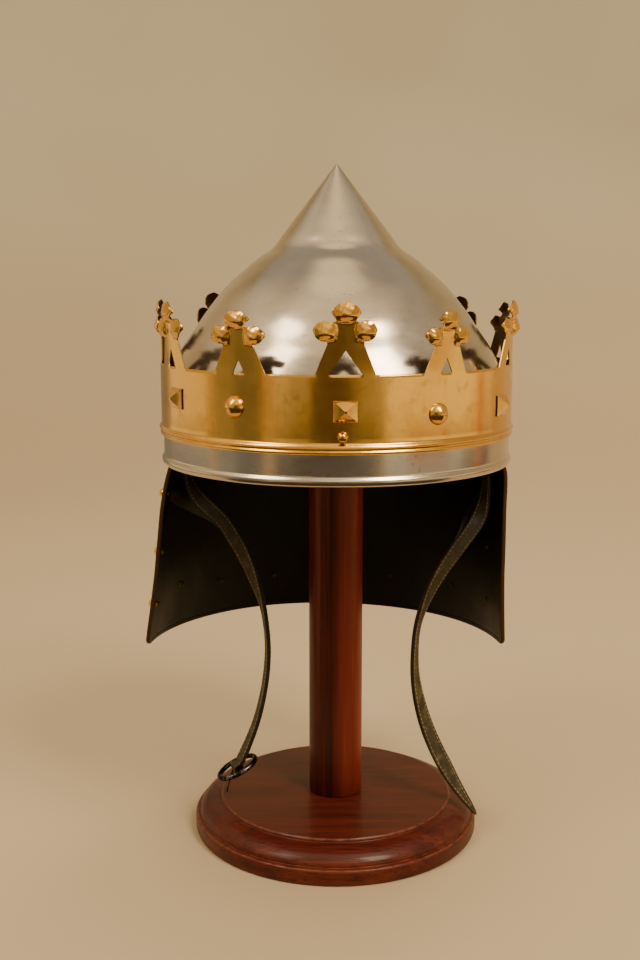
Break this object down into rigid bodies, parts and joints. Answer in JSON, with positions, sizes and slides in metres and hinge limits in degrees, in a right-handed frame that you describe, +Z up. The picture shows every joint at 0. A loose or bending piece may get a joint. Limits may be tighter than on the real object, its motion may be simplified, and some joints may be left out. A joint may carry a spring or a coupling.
{
  "type": "crowned pointed helmet and wooden display stand",
  "caption": "Open-faced pointed steel helmet with a brass crown, leather neck guard and loose chin straps, on a turned wooden stand.",
  "frame": {"origin": "centre of the stand's underside, on the floor", "axes": "+Z up, -Y to the front where the face opening is, +X to the wearer's left"},
  "size_m": [0.2495, 0.2409, 0.4472],
  "materials": {
    "spun_steel": "brushed steel, fine turned lines",
    "polished_brass": "polished brass, lightly tarnished",
    "black_leather": "smooth black leather",
    "strap_leather": "worn olive-brown leather with stitched edges",
    "blackened_iron": "blackened iron, worn bright in places",
    "stained_wood": "dark red stained and varnished wood"
  },
  "bodies": {
    "root": {"buckle_frame": "blackened_iron", "buckle_prong": "blackened_iron", "buckle_strap": "strap_leather", "crown": "polished_brass", "crown_rivet_back": "polished_brass", "crown_rivet_front": "polished_brass", "dome_stud_2": "polished_brass", "dome_stud_4": "polished_brass", "edge_rivet_left_1": "polished_brass", "edge_rivet_left_2": "polished_brass", "edge_rivet_right_1": "polished_brass", "edge_rivet_right_2": "polished_brass", "free_strap": "strap_leather", "hem_rivet_1": "polished_brass", "hem_rivet_2": "polished_brass", "hem_rivet_3": "polished_brass", "hem_rivet_4": "polished_brass", "hem_rivet_5": "polished_brass", "hem_rivet_6": "polished_brass", "hem_rivet_7": "polished_brass", "hem_rivet_8": "polished_brass", "lap_rivet_1": "polished_brass", "lap_rivet_2": "polished_brass", "lap_rivet_3": "polished_brass", "lap_rivet_4": "polished_brass", "lap_rivet_5": "polished_brass", "neck_guard": "black_leather", "pyramid_stud_1": "polished_brass", "pyramid_stud_3": "polished_brass", "pyramid_stud_5": "polished_brass", "skull": "spun_steel", "stand_base": "stained_wood", "stand_post": "stained_wood"}
  },
  "joints": []
}
